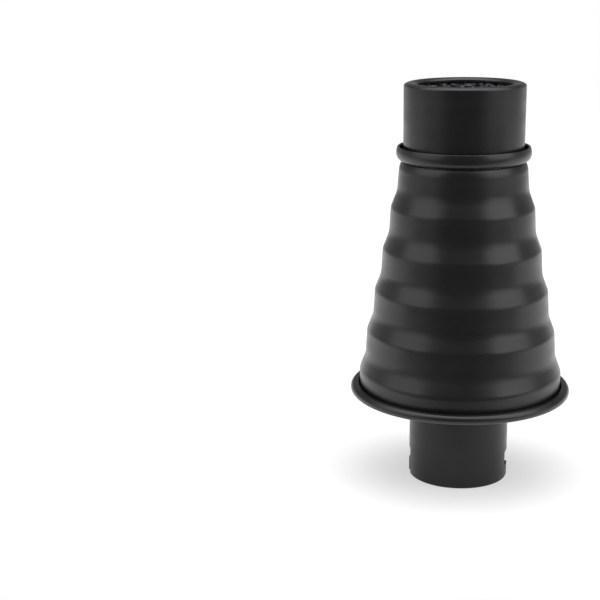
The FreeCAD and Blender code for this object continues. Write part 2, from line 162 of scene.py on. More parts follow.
@dataclass(frozen=True)
class SatinCoat(Finish):
    """Baked black enamel, sprayed on spun aluminium: near-black, satin, with soft bands left by the lathe."""

    colour: str = "#161617"
    rubbed: str = "#2A2A2C"
    roughness: float = 0.29
    reflectance: float = 0.5
    peel_mm: float = 1.1
    ring_mm: float = 9.4248
    cloud_mm: float = 16.0

    def build(self) -> bpy.types.Material:
        """Makes the coat.

        Returns:
            The material.
        """
        material, tree, shader, here = self.start()
        # Spray settles unevenly, so the gloss drifts over a thumb's breadth.
        cloud = add_node(
            tree, "ShaderNodeTexNoise", {"Scale": per_metre(self.cloud_mm), "Detail": 3.0}, Vector=here
        )
        # The lathe's rings are 0.3 mm apart, too fine to show; these are soft bands 9 mm apart.
        rings = add_node(
            tree, "ShaderNodeTexWave",
            {"wave_type": "BANDS", "bands_direction": "Z", "Scale": per_metre(self.ring_mm) * WAVE_TURN,
             "Distortion": 0.6, "Detail": 3.0, "Detail Scale": 2.0},
            Vector=here,
        )
        # Orange peel of the sprayed film, 0.3 mm on the real one and drawn at about 1 mm.
        peel = add_node(
            tree, "ShaderNodeTexNoise", {"Scale": per_metre(self.peel_mm), "Detail": 4.0, "Roughness": 0.65},
            Vector=here,
        )
        drift = add_node(
            tree, "ShaderNodeMapRange", spread(self.roughness - 0.045, self.roughness + 0.045),
            Value=cloud.outputs["Fac"],
        )
        ringed = add_node(
            tree, "ShaderNodeMath", {"operation": "MULTIPLY_ADD", 1: 0.035}, in_0=rings.outputs["Fac"],
            in_2=drift.outputs["Result"],
        )
        rub = add_node(tree, "ShaderNodeAttribute", {"attribute_name": "rub"})
        patchy = add_node(
            tree, "ShaderNodeMapRange", {"From Min": 0.35, "From Max": 0.75}, Value=peel.outputs["Fac"]
        )
        worn = add_node(
            tree, "ShaderNodeMath", {"operation": "MULTIPLY"}, in_0=rub.outputs["Fac"],
            in_1=patchy.outputs["Result"],
        )
        tone = add_node(
            tree, "ShaderNodeMix",
            {"data_type": "RGBA", MIX_A: linear(self.colour), MIX_B: linear(self.rubbed)},
            in_0=worn.outputs["Value"],
        )
        tree.links.new(tone.outputs[MIX_RESULT], shader.inputs["Base Color"])
        smoother = add_node(
            tree, "ShaderNodeMath", {"operation": "MULTIPLY_ADD", 1: -0.08}, in_0=worn.outputs["Value"],
            in_2=ringed.outputs["Value"],
        )
        tree.links.new(smoother.outputs["Value"], shader.inputs["Roughness"])
        lumps = add_node(
            tree, "ShaderNodeMath", {"operation": "MULTIPLY_ADD", 1: 0.5}, in_0=rings.outputs["Fac"],
            in_2=peel.outputs["Fac"],
        )
        bump = add_node(
            tree, "ShaderNodeBump", {"Strength": 0.25, "Distance": 0.05 * MM}, Height=lumps.outputs["Value"]
        )
        tree.links.new(bump.outputs["Normal"], shader.inputs["Normal"])
        shader.inputs["Specular IOR Level"].default_value = self.reflectance
        return material


@dataclass(frozen=True)
class FrostedAluminium(Finish):
    """Bare aluminium tube, etched: bright metal whose skin is a fine sandy frost that breaks the light up."""

    colour: str = "#F7F8FA"
    dim: str = "#E3E4E7"
    roughness: float = 0.38
    grit_mm: float = 0.9
    streak_mm: float = 9.0

    def build(self) -> bpy.types.Material:
        """Makes the frost.

        Returns:
            The material.
        """
        material, tree, shader, here = self.start()
        # Etching leaves 0.2 mm grains; they are drawn at under 1 mm so that the sparkle shows.
        grit = add_node(
            tree, "ShaderNodeTexNoise", {"Scale": per_metre(self.grit_mm), "Detail": 6.0, "Roughness": 0.75},
            Vector=here,
        )
        stretch = add_node(tree, "ShaderNodeMapping", {"Scale": (1.0, 1.0, 0.25)}, Vector=here)
        # Drawing the tube leaves long soft streaks along it.
        streak = add_node(
            tree, "ShaderNodeTexNoise", {"Scale": per_metre(self.streak_mm), "Detail": 4.0},
            Vector=stretch.outputs["Vector"],
        )
        grains = add_node(
            tree, "ShaderNodeMapRange", {"From Min": 0.38, "From Max": 0.56}, Value=grit.outputs["Fac"]
        )
        tone = add_node(
            tree, "ShaderNodeMix",
            {"data_type": "RGBA", MIX_A: linear(self.dim), MIX_B: linear(self.colour)},
            in_0=grains.outputs["Result"],
        )
        tree.links.new(tone.outputs[MIX_RESULT], shader.inputs["Base Color"])
        gritty = add_node(
            tree, "ShaderNodeMapRange", spread(self.roughness - 0.08, self.roughness + 0.14),
            Value=grit.outputs["Fac"],
        )
        streaky = add_node(
            tree, "ShaderNodeMath", {"operation": "MULTIPLY_ADD", 1: 0.08}, in_0=streak.outputs["Fac"],
            in_2=gritty.outputs["Result"],
        )
        tree.links.new(streaky.outputs["Value"], shader.inputs["Roughness"])
        bump = add_node(
            tree, "ShaderNodeBump", {"Strength": 0.7, "Distance": 0.16 * MM}, Height=grit.outputs["Fac"]
        )
        tree.links.new(bump.outputs["Normal"], shader.inputs["Normal"])
        shader.inputs["Metallic"].default_value = 1.0
        return material


@dataclass(frozen=True)
class AnodisedFoil(Finish):
    """Thin aluminium foil, dyed black by anodising: a dark sheen with faint rolling lines, and pale streaks
    painted on as highlights.
    """

    colour: str = "#202022"
    # Colour of the painted highlight streaks.
    pale: str = "#88888E"
    roughness: float = 0.38
    metallic: float = 0.7
    line_mm: float = 3.6

    def build(self) -> bpy.types.Material:
        """Makes the foil.

        Returns:
            The material.
        """
        material, tree, shader, here = self.start()
        # Rolling lines are 0.1 mm apart on real foil; these are 3.6 mm apart, so that they show.
        squeeze = add_node(tree, "ShaderNodeMapping", {"Scale": (1.0, 1.0, 0.2)}, Vector=here)
        lines = add_node(
            tree, "ShaderNodeTexNoise", {"Scale": per_metre(self.line_mm), "Detail": 1.5, "Roughness": 0.45},
            Vector=squeeze.outputs["Vector"],
        )
        # Pale streaks are painted highlights, standing in for light that the foil walls catch; they follow the
        # rolling-line noise.
        streaks = add_node(
            tree, "ShaderNodeMapRange",
            {"interpolation_type": "SMOOTHSTEP", "From Min": 0.42, "From Max": 0.58},
            Value=lines.outputs["Fac"],
        )
        tone = add_node(
            tree, "ShaderNodeMix",
            {"data_type": "RGBA", MIX_A: linear(self.colour), MIX_B: linear(self.pale)},
            in_0=streaks.outputs["Result"],
        )
        tree.links.new(tone.outputs[MIX_RESULT], shader.inputs["Base Color"])
        rough = add_node(
            tree, "ShaderNodeMapRange", spread(self.roughness - 0.1, self.roughness + 0.1),
            Value=lines.outputs["Fac"],
        )
        tree.links.new(rough.outputs["Result"], shader.inputs["Roughness"])
        # Cutting the block leaves the foil crumpled near its edge, which throws glints to all sides.
        bump = add_node(
            tree, "ShaderNodeBump", {"Strength": 0.6, "Distance": 0.4 * MM}, Height=lines.outputs["Fac"]
        )
        tree.links.new(bump.outputs["Normal"], shader.inputs["Normal"])
        shader.inputs["Metallic"].default_value = self.metallic
        return material


@dataclass(frozen=True)
class BareMetal(Finish):
    """Bare worked metal, such as a set rivet, drawn spring wire or a cut foil edge: grey, finely scratched."""

    colour: str = "#B4B5B7"
    stained: str = "#8E8F92"
    roughness: float = 0.34
    scratch_mm: float = 0.8

    def build(self) -> bpy.types.Material:
        """Makes the metal.

        Returns:
            The material.
        """
        material, tree, shader, here = self.start()
        # Tool marks are under 0.1 mm wide; they are drawn at the spacing given so that the sheen breaks up.
        marks = add_node(
            tree, "ShaderNodeTexNoise", {"Scale": per_metre(self.scratch_mm), "Detail": 6.0, "Roughness": 0.8},
            Vector=here,
        )
        tone = add_node(
            tree, "ShaderNodeMix",
            {"data_type": "RGBA", MIX_A: linear(self.stained), MIX_B: linear(self.colour)},
            in_0=marks.outputs["Fac"],
        )
        tree.links.new(tone.outputs[MIX_RESULT], shader.inputs["Base Color"])
        rough = add_node(
            tree, "ShaderNodeMapRange", spread(self.roughness - 0.08, self.roughness + 0.12),
            Value=marks.outputs["Fac"],
        )
        tree.links.new(rough.outputs["Result"], shader.inputs["Roughness"])
        bump = add_node(
            tree, "ShaderNodeBump", {"Strength": 0.35, "Distance": 0.05 * MM}, Height=marks.outputs["Fac"]
        )
        tree.links.new(bump.outputs["Normal"], shader.inputs["Normal"])
        shader.inputs["Metallic"].default_value = 1.0
        return material


@dataclass(frozen=True)
class PressedFelt(Finish):
    """Black pressed wool felt: it drinks the light, with a soft bloom of loose fibre at its edges."""

    colour: str = "#0E0E0F"
    fibre: str = "#232325"
    fibre_mm: float = 0.7

    def build(self) -> bpy.types.Material:
        """Makes the felt.

        Returns:
            The material.
        """
        material, tree, shader, here = self.start()
        # Felt fibres are 0.03 mm thick; the clumps that they make are what shows.
        fibres = add_node(
            tree, "ShaderNodeTexNoise",
            {"Scale": per_metre(self.fibre_mm), "Detail": 8.0, "Roughness": 0.8, "Distortion": 1.5},
            Vector=here,
        )
        tone = add_node(
            tree, "ShaderNodeMix",
            {"data_type": "RGBA", MIX_A: linear(self.colour), MIX_B: linear(self.fibre)},
            in_0=fibres.outputs["Fac"],
        )
        tree.links.new(tone.outputs[MIX_RESULT], shader.inputs["Base Color"])
        bump = add_node(
            tree, "ShaderNodeBump", {"Strength": 0.9, "Distance": 0.25 * MM}, Height=fibres.outputs["Fac"]
        )
        tree.links.new(bump.outputs["Normal"], shader.inputs["Normal"])
        shader.inputs["Roughness"].default_value = 0.95
        shader.inputs["Specular IOR Level"].default_value = 0.2
        shader.inputs["Sheen Weight"].default_value = 0.25
        return material


@dataclass(frozen=True)
class LightTable(Finish):
    """Milky acrylic sheet of a light table: it glows from below, so that a shadow on it stays pale."""

    colour: str = "#C2C2C2"
    glow: float = 0.45
    cloud_mm: float = 60.0

    def build(self) -> bpy.types.Material:
        """Makes the sheet.

        Returns:
            The material.
        """
        material, tree, shader, here = self.start()
        # The lamps below the sheet don't quite even out, so its glow drifts by up to a tenth.
        cloud = add_node(
            tree, "ShaderNodeTexNoise", {"Scale": per_metre(self.cloud_mm), "Detail": 2.0}, Vector=here
        )
        glow = add_node(
            tree, "ShaderNodeMapRange", {"To Min": self.glow, "To Max": self.glow + 0.04},
            Value=cloud.outputs["Fac"],
        )
        tree.links.new(glow.outputs["Result"], shader.inputs["Emission Strength"])
        shader.inputs["Emission Color"].default_value = linear("#FFFFFF")
        shader.inputs["Base Color"].default_value = linear(self.colour)
        shader.inputs["Roughness"].default_value = 0.9
        shader.inputs["Specular IOR Level"].default_value = 0.1
        return material


# ---- shaping sheet ----


def arc(centre: tuple[float, float], radius: float, start: float, stop: float, steps: int) -> Outline:
    """Points along an arc.

    Args:
        centre: Radius and height of the arc's centre.
        radius: Its radius.
        start: Angle of the first point in degrees, from outward towards up.
        stop: Angle of the last point.
        steps: How many stretches it is divided into.

    Returns:
        The points from start to stop.
    """
    angles = [math.radians(start + (stop - start) * i / steps) for i in range(steps + 1)]
    return [(centre[0] + radius * math.cos(a), centre[1] + radius * math.sin(a)) for a in angles]


def rounded(corners: Corners) -> tuple[Outline, list[float]]:
    """Rounds the corners of a closed outline that runs counter-clockwise.

    Args:
        corners: Radius, height and rounding of each corner; 0 leaves it as a point.

    Returns:
        The outline's points, and how much each stands out as a rim, from 0 to 1.
    """
    points: Outline = []
    rims: list[float] = []
    for index, (across, up, bend) in enumerate(corners):
        here = Vector((across, up))
        back = Vector(corners[index - 1][:2]) - here
        ahead = Vector(corners[(index + 1) % len(corners)][:2]) - here
        turn = math.pi - back.angle(ahead) if back.length and ahead.length else 0.0
        if bend <= 0 or turn < STRAIGHT:
            points.append((across, up))
            rims.append(0.0)
            continue
        before, after = corners[index - 1][2], corners[(index + 1) % len(corners)][2]
        room = min(back.length * bend / (bend + before), ahead.length * bend / (bend + after))
        reach = min(bend * math.tan(turn / 2), 0.98 * room)
        radius = reach / math.tan(turn / 2)
        middle = here + (back.normalized() + ahead.normalized()).normalized() * (radius / math.cos(turn / 2))
        outward = back.x * ahead.y - back.y * ahead.x < 0
        first = here + back.normalized() * reach - middle
        last = here + ahead.normalized() * reach - middle
        facet = SMALL_BEND_STEP if radius < SMALL_BEND else LARGE_BEND_STEP
        steps = max(3, math.ceil(math.degrees(turn) / facet))
        start = math.atan2(first.y, first.x)
        sweep = math.remainder(math.atan2(last.y, last.x) - start, math.tau)
        for step in range(steps + 1):
            angle = start + sweep * step / steps
            points.append((middle.x + radius * math.cos(angle), middle.y + radius * math.sin(angle)))
            rims.append(1.0 if outward and radius < RIM_RADIUS and turn > RIM_TURN else 0.0)
    return points, rims


def with_supports(points: Outline, rims: list[float], longest: float) -> tuple[Outline, list[float]]:
    """Divides an outline's long stretches, so that its flats stay flat beside its bends.

    Args:
        points: A closed outline.
        rims: How much each point stands out as a rim.
        longest: The longest stretch to leave, in millimetres.

    Returns:
        The outline and its rims with the points added.
    """
    closer: Outline = []
    edges: list[float] = []
    for index, here in enumerate(points):
        there = points[(index + 1) % len(points)]
        run = math.dist(here, there)
        shares = [0.0]
        if run > 4 * GUARD:
            flat = run - 2 * GUARD
            pieces = max(1, math.ceil(flat / longest))
            inner = [GUARD + flat * i / pieces for i in range(pieces + 1)]
            shares += [distance / run for distance in inner]
        for share in shares:
            closer.append((here[0] + (there[0] - here[0]) * share, here[1] + (there[1] - here[1]) * share))
            edges.append(rims[index] if share == 0.0 else 0.0)
    return closer, edges


@dataclass
class Turning:
    """A piece turned round Z from a closed outline.

    Attributes:
        name: The piece's name.
        corners: Radius, height and rounding of each corner of the outline, in millimetres.
        columns: How many facets go round.
        wobble: How far the sheet may dip, in millimetres.
        longest: Longest stretch of the outline between two rows.
    """

    name: str
    corners: Corners
    columns: int = 240
    wobble: float = 0.0
    longest: float = 5.0

    def build(self) -> bpy.types.Object:
        """Makes the piece's mesh and object.

        Returns:
            The object, not yet dressed.
        """
        points, rims = with_supports(*rounded(self.corners), self.longest)
        mesh = bmesh.new()
        rub = mesh.verts.layers.float.new("rub")
        rows = []
        for (radius, height), rim in zip(points, rims):
            row = []
            for column in range(self.columns):
                turn = math.tau * column / self.columns
                dip = self.dip(turn, height)
                spot = Vector(((radius - dip) * math.cos(turn), (radius - dip) * math.sin(turn), height)) * MM
                vertex = mesh.verts.new(spot)
                vertex[rub] = rim
                row.append(vertex)
            rows.append(row)
        skin(mesh, rows, joined=True)
        bmesh.ops.recalc_face_normals(mesh, faces=mesh.faces)
        return as_object(mesh, self.name)

    def dip(self, turn: float, height: float) -> float:
        """How far the sheet dips at a place, in millimetres."""
        if not self.wobble:
            return 0.0
        place = Vector((math.cos(turn) * 1.6, math.sin(turn) * 1.6, height * 0.045))
        return self.wobble * (0.5 + 0.5 * noise.noise(place))


def skin(
    mesh: bmesh.types.BMesh, rows: list[list[bmesh.types.BMVert]], joined: bool = False, smooth: bool = True,
) -> list[list[bmesh.types.BMFace]]:
    """Spans faces between neighbouring rings of vertices.

    Args:
        mesh: The mesh that holds the vertices.
        rows: The rings, in order.
        joined: Whether the last ring meets the first.
        smooth: Whether the faces are shaded smooth.

    Returns:
        The faces of each stretch between two rings.
    """
    stretches = []
    for row, following in zip(rows, rows[1:] + rows[:1] if joined else rows[1:]):
        stretch = []
        for index, corner in enumerate(row):
            beside = (index + 1) % len(row)
            face = mesh.faces.new((corner, row[beside], following[beside], following[index]))
            face.smooth = smooth
            stretch.append(face)
        stretches.append(stretch)
    return stretches


def as_object(mesh: bmesh.types.BMesh, name: str) -> bpy.types.Object:
    """Turns a finished bmesh into an object in the scene.

    Args:
        mesh: The bmesh, which is freed.
        name: The object's name.

    Returns:
        The object.
    """
    data = bpy.data.meshes.new(name)
    mesh.to_mesh(data)
    mesh.free()
    thing = bpy.data.objects.new(name, data)
    bpy.context.scene.collection.objects.link(thing)
    return thing


def settle(thing: bpy.types.Object) -> None:
    """Makes an object's modifiers part of its mesh.

    Args:
        thing: The object.
    """
    graph = bpy.context.evaluated_depsgraph_get()
    graph.update()
    finished = bpy.data.meshes.new_from_object(thing.evaluated_get(graph))
    thing.modifiers.clear()
    spare = thing.data
    thing.data = finished
    bpy.data.meshes.remove(spare)


def fit(thing: bpy.types.Object, finishes: list[bpy.types.Material], node: str, part: Part) -> None:
    """Dresses a piece and puts it in a CAD node's place.

    Args:
        thing: The piece.
        finishes: Its materials, in the order of its material slots.
        node: The CAD node that it stands for.
        part: The body that it rides on.
    """
    thing.data.materials.clear()
    for finish in finishes:
        thing.data.materials.append(finish)
    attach(thing, part.value)
    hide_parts(node)
    LOG.info("%s: %d faces, stands for %s", thing.name, len(thing.data.polygons), node)


# ---- sub-assemblies ----


@dataclass
class BayonetTube:
    """The tube that goes on the flash head, with its two J-shaped channels."""

    outside: float = 25.0
    wall: float = 1.0
    seat: float = 44.9
    flange: float = 36.0
    flange_bend: float = 1.2
    entry: tuple[float, float] = (0.9, 5.9)
    run_end: float = -7.7
    ledge: float = 6.4
    ceiling: float = 13.8
    bend: float = 1.2
    edge: float = 0.3
    burr: float = 0.16
    burr_turn: float = 50.0
    block: tuple[float, float] = (15.0, 35.0)
    block_foot: float = -2.0

    def build(self, coat: bpy.types.Material) -> None:
        """Makes the tube, cuts its channels and dresses it.

        Args:
            coat: The finish of its sheet.
        """
        inside = self.outside - self.wall
        head = self.seat + self.wall
        tube = Turning("bayonet_tube", [
            (inside, 0.0, self.edge), (self.outside, 0.0, self.edge),
            (self.outside, self.seat, self.flange_bend), (self.flange, self.seat, self.edge),
            (self.flange, head, self.edge), (inside, head, self.flange_bend + self.wall),
        ], columns=180, longest=2.5).build()
        cutter = self.cutter()
        cut = tube.modifiers.new("channels", "BOOLEAN")
        cut.operation = "DIFFERENCE"
        cut.solver = "EXACT"
        cut.object = cutter
        settle(tube)
        bpy.data.objects.remove(cutter)
        soften = tube.modifiers.new("cut_edges", "BEVEL")
        soften.width = self.burr * MM
        soften.segments = 2
        soften.limit_method = "ANGLE"
        soften.angle_limit = math.radians(self.burr_turn)
        settle(tube)
        for face in tube.data.polygons:
            face.use_smooth = True
        fit(tube, [coat], "mount_tube", Part.CONE)

    def cutter(self) -> bpy.types.Object:
        """Makes the block that cuts both channels.

        Returns:
            The cutting object.
        """
        near, far = self.entry
        outline, _ = rounded([
            (near, self.block_foot, 0.0), (far, self.block_foot, 0.0), (far, self.ceiling, self.bend),
            (self.run_end, self.ceiling, self.bend), (self.run_end, self.ledge, self.bend),
            (near, self.ledge, self.bend),
        ])
        mesh = bmesh.new()
        for side in (1.0, -1.0):
            inner, outer = (
                [mesh.verts.new(Vector((reach * side, y * side, z)) * MM) for y, z in outline]
                for reach in self.block
            )
            mesh.faces.new(inner)
            mesh.faces.new(list(reversed(outer)))
            for index in range(len(outline)):
                beside = (index + 1) % len(outline)
                mesh.faces.new((inner[index], outer[index], outer[beside], inner[beside]))
        bmesh.ops.recalc_face_normals(mesh, faces=mesh.faces)
        return as_object(mesh, "channel_cutter")


@dataclass
class ConeBody:
    """The cone, the dish that closes it and the pieces fixed inside them."""

    sheet: float = 1.0
    floor: float = 43.9
    dish_edge: float = 55.3
    curl_height: float = 4.6
    curl_lip: float = 4.0
    foot_reach: float = 2.0
    foot_draw: float = 0.5
    mouth: float = 28.9
    mouth_height: float = 162.0
    top_radius: float = 31.65
    steps: int = 5
    first_step: float = 147.3
    pitch: float = 20.9
    step_height: float = 8.0
    rise: float = 3.84
    taper: float = 0.75
    hollow: float = 15.0
    crown: float = 6.0
    shoulder: float = 9.0
    shoulder_height: float = 4.8
    hole: float = 26.25
    flange: float = 36.0
    socket_bore: float = 28.6
    socket_height: float = 6.5
    felt_bore: float = 28.52
    felt_taper: float = 0.9
    rivet_circle: float = 32.6
    rivet_count: int = 4
    rivet_facets: int = 32

    def stepped_line(self, inset: float) -> Corners:
        """The stepped line from the lowest step up to the mouth.

        Args:
            inset: How far the line lies inside the outer surface.

        Returns:
            Corners from the bottom up.
        """
        line: Corners = []
        for band in range(self.steps, 0, -1):
            foot = self.first_step - self.step_height - self.pitch * (band - 1)
            line.append((self.top_radius + self.rise * band - inset, foot, self.crown - inset))
            head = self.top_radius + self.rise * (band - 1) + self.taper - inset
            line.append((head, foot + self.step_height, self.hollow + inset))
        return line

    def build_shell(self, coat: bpy.types.Material) -> None:
        """Makes the spun cone.

        Args:
            coat: The finish of its sheet.
        """
        wall = self.sheet
        foot = self.floor + wall
        skirt = self.top_radius + self.rise * self.steps - self.foot_draw
        bend, rise = self.shoulder, self.shoulder_height
        centre = (self.top_radius - bend, self.mouth_height - rise)
        turn = math.degrees(math.asin(rise / bend))
        inner_turn = math.degrees(math.asin((rise - wall) / (bend - wall)))
        outer = [(r, z, 0.0) for r, z in arc(centre, bend, 0.0, turn, 10)]
        inner = [(r, z, 0.0) for r, z in arc(centre, bend - wall, 0.0, inner_turn, 8)]
        shell = Turning("stepped_cone", [
            (skirt - wall, foot, 0.6),
            (skirt + self.foot_reach, foot, 0.2),
            (skirt + self.foot_reach, foot + wall, 0.2),
            (skirt, foot + wall, 0.6),
            *self.stepped_line(0.0),
            *outer[:-1],
            (*outer[-1][:2], 0.4),
            (self.mouth, self.mouth_height, 0.3),
            (self.mouth, self.mouth_height - wall, 0.2),
            *reversed(inner),
            *reversed(self.stepped_line(wall)),
        ], columns=288, wobble=0.03, longest=4.0).build()
        fit(shell, [coat], "cone_shell", Part.CONE)

    def build_dish(self, coat: bpy.types.Material) -> None:
        """Makes the dish with its curled rim.

        Args:
            coat: The finish of its sheet.
        """
        wall, low, top = self.sheet, self.floor, self.floor + self.curl_height
        outer = self.curl_height / 2
        inner = outer - wall
        middle = (self.dish_edge - outer, low + outer)
        outside = [(r, z, 0.0) for r, z in arc(middle, outer, -90, 90, 16)]
        inside = [(r, z, 0.0) for r, z in arc(middle, inner, 90, -90, 10)]
        dish = Turning("crimped_dish", [
            (self.hole, low, 0.2),
            *outside,
            (self.dish_edge - self.curl_lip, top, 0.3),
            (self.dish_edge - self.curl_lip, top - wall, 0.3),
            *inside,
            (self.hole, low + wall, 0.2),
        ], columns=288, wobble=0.03).build()
        fit(dish, [coat], "base_dish", Part.CONE)

    def build_socket(self, coat: bpy.types.Material) -> None:
        """Makes the ring that centres the light tube's foot.

        Args:
            coat: The finish of its sheet.
        """
        wall, bore, seat = self.sheet, self.socket_bore, self.floor + 2 * self.sheet
        head = seat + self.socket_height
        socket = Turning("light_tube_socket", [
            (bore, seat, 0.2), (self.flange, seat, 0.2), (self.flange, seat + wall, 0.2),
            (bore + wall, seat + wall, 0.5), (bore + wall, head, 0.3), (bore, head, 0.3),
        ], columns=144).build()
        fit(socket, [coat], "tube_socket", Part.CONE)

    def build_felt(self, felt: bpy.types.Material) -> None:
        """Makes the felt in the cone's neck.

        Args:
            felt: The finish of the felt.
        """
        low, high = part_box("felt_ring")
        foot, head, reach = low.z / MM, high.z / MM, high.x / MM
        ring = Turning("neck_felt", [
            (self.felt_bore, foot, 0.5), (reach - 0.05, foot, 0.5),
            (reach - self.felt_taper, head, 0.5), (self.felt_bore, head, 0.5),
        ], columns=200, longest=0.8).build()
        fit(ring, [felt], "felt_ring", Part.CONE)

    def build_rivets(self, metal: bpy.types.Material) -> None:
        """Makes the four set rivets as one piece.

        Args:
            metal: The finish of the rivets.
        """
        low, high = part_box("mount_rivets")
        bottom, top = low.z / MM, high.z / MM
        outline = [
            (0.0, bottom), (1.2, bottom + 0.03), (2.1, bottom + 0.2), (2.7, bottom + 0.55),
            (2.98, bottom + 1.0),
            (3.0, bottom + 1.1), (1.5, bottom + 1.1), (1.5, top - 1.3), (2.1, top - 1.3), (2.2, top - 1.1),
            (2.15, top - 0.5), (1.8, top - 0.15), (1.0, top - 0.02), (0.0, top),
        ]
        mesh = bmesh.new()
        ways = [math.tau * step / self.rivet_facets for step in range(self.rivet_facets)]
        for index in range(self.rivet_count):
            angle = math.radians(360 / self.rivet_count * index)
            centre = Vector((math.cos(angle), math.sin(angle), 0.0)) * self.rivet_circle
            skin(mesh, [[
                mesh.verts.new((centre + Vector((r * math.cos(a), r * math.sin(a), z))) * MM) for a in ways
            ] for r, z in outline])
        bmesh.ops.remove_doubles(mesh, verts=mesh.verts, dist=1e-6)
        bmesh.ops.recalc_face_normals(mesh, faces=mesh.faces)
        rivets = as_object(mesh, "dish_rivets")
        fit(rivets, [metal], "mount_rivets", Part.CONE)


@dataclass
class NozzleInsert:
    """The part that pulls out: nozzle, light tube, and the honeycomb with what holds it."""

    radius: float = 29.6
    wall: float = 1.1
    head: float = 200.3
    foot: float = 162.35
    lip: float = 23.5
    crown: float = 4.8
    hem: float = 2.4
    bead_reach: float = 33.05
    bead_belly: float = 4.4
    bead_flank: float = 8.2
    bead_middle: float = 3.9
    bead_tip: float = 3.25
    bead_tuck: float = -52.0
    front_sheet: float = 0.55
    tube_bore: float = 27.5
    tube_outside: float = 28.4
    band_bore: float = 27.75
    band_outside: float = 28.35
    wire_radius: float = 27.7
    wire_sweep: float = 344.0
    wire_steps: int = 180
    wire_facets: int = 20
    wire_end: float = 0.55

    def build_nozzle(self, coat: bpy.types.Material) -> None:
        """Makes the nozzle with its rolled bead and hemmed front.

        Args:
            coat: The finish of its sheet.
        """
        wall, foot, head = self.wall, self.foot, self.head
        widest = foot + self.bead_middle
        belly = (self.bead_reach - self.bead_belly, widest)
        flank = (self.bead_reach - self.bead_flank, widest)
        below = -math.degrees(math.asin(self.bead_middle / self.bead_belly))
        above = math.degrees(math.asin(self.bead_tip / self.bead_flank))
        sheet = wall - 0.1
        half = (self.radius - self.lip) / 2
        slant = math.degrees(math.asin(half / self.crown))
        front = arc((self.lip + half, head - self.crown), self.crown, 90 - slant, 90 + slant, 12)
        back = front[0][1] - self.front_sheet
        outside = arc(belly, self.bead_belly, below, 0.0, 10) + arc(flank, self.bead_flank, 0.0, above, 6)[1:]
        inside = arc(flank, self.bead_flank - sheet, above, 0.0, 5)
        inside += arc(belly, self.bead_belly - sheet, 0.0, self.bead_tuck, 8)
        nozzle = Turning("nozzle_cap", [
            (self.radius - wall, foot, 0.3),
            *((r, z, 0.0) for r, z in outside[:-1]),
            (*outside[-1], 0.35),
            (*inside[0], 0.35),
            *((r, z, 0.0) for r, z in inside[1:]),
            (self.radius + 0.5, foot + wall, 0.3),
            (self.radius, foot + wall, 0.4),
            (*front[0], 0.9),
            *((r, z, 0.0) for r, z in front[1:-1]),
            (*front[-1], 0.4),
            (self.lip, head - self.hem, 0.4),
            (self.lip + wall, head - self.hem, 0.3),
            (self.lip + wall, back, 0.3),
            (self.radius - wall, back, 0.3),
        ], columns=288, wobble=0.04).build()
        fit(nozzle, [coat], "nozzle", Part.INSERT)

    def build_light_tube(self, frost: bpy.types.Material) -> None:
        """Makes the silver light tube.

        Args:
            frost: The finish of the tube.
        """
        low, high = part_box("inner_tube")
        foot, head = low.z / MM, high.z / MM
        tube = Turning("light_tube", [
            (self.tube_bore, foot, 0.25), (self.tube_outside, foot, 0.25),
            (self.tube_outside, head, 0.25), (self.tube_bore, head, 0.25),
        ], columns=256, wobble=0.03, longest=6.0).build()
        fit(tube, [frost], "inner_tube", Part.INSERT)

    def build_frame(self, foil: bpy.types.Material) -> None:
        """Makes the band round the honeycomb.

        Args:
            foil: The finish of the band.
        """
        low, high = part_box("grid_frame")
        foot, head = low.z / MM, high.z / MM
        band = Turning("honeycomb_band", [
            (self.band_bore, foot, 0.15), (self.band_outside, foot, 0.15),
            (self.band_outside, head, 0.5), (self.band_bore, head, 0.15),
        ], columns=200).build()
        fit(band, [foil], "grid_frame", Part.INSERT)

    def build_snap_ring(self, wire: bpy.types.Material) -> None:
        """Makes the open wire ring below the honeycomb.

        Args:
            wire: The finish of the wire.
        """
        low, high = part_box("grid_snap_ring")
        level, thick = (low.z + high.z) / 2, (high.z - low.z) / 2
        mesh = bmesh.new()
        ways = [math.tau * side / self.wire_facets for side in range(self.wire_facets)]
        rows = []
        for step in range(self.wire_steps + 1):
            turn = math.radians(self.wire_sweep * step / self.wire_steps)
            bulk = thick * (self.wire_end if step in (0, self.wire_steps) else 1.0)
            rows.append([])
            for way in ways:
                reach = self.wire_radius * MM + bulk * math.cos(way)
                height = level + bulk * math.sin(way)
                rows[-1].append(mesh.verts.new((reach * math.cos(turn), reach * math.sin(turn), height)))
        skin(mesh, rows)
        for end in (rows[0], rows[-1]):
            mesh.faces.new(end)
        bmesh.ops.recalc_face_normals(mesh, faces=mesh.faces)
        ring = as_object(mesh, "honeycomb_snap_ring")
        fit(ring, [wire], "grid_snap_ring", Part.INSERT)


